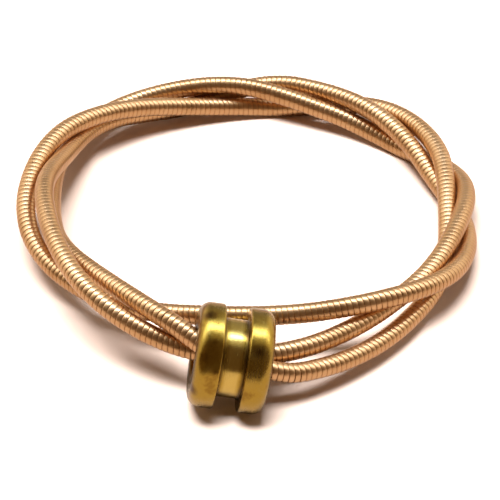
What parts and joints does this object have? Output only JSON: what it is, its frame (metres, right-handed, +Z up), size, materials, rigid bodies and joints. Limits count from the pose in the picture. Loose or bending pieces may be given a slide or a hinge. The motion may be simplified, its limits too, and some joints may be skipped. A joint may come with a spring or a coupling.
{
  "type": "guitar string ring",
  "caption": "Finger ring coiled from a single wound acoustic-guitar string, with the string's brass ball end threaded on as a bead that spins on the laps.",
  "frame": {"origin": "centre of the ring's bounding box, on the surface it rests on", "axes": "+Z up along the finger axis, -Y towards the front, where the ball end is, +X to the viewer's right"},
  "size_m": [0.0196, 0.0224, 0.0045],
  "materials": {
    "ball_end_brass": "polished, lightly tarnished",
    "wrap_bronze": "bright drawn phosphor bronze wire",
    "core_steel": "plain drawn wire"
  },
  "bodies": {
    "string": {"core_wire": "core_steel", "wrap_winding": "wrap_bronze"},
    "bead": {"ball_end": "ball_end_brass"}
  },
  "joints": [
    {"name": "ball_end_spin", "type": "hinge", "parent": "string", "child": "bead", "pos_m": [-0.00064, -0.00906, 0.00225], "axis": [0.9858, -0.0212, -0.1664], "continuous": true}
  ]
}
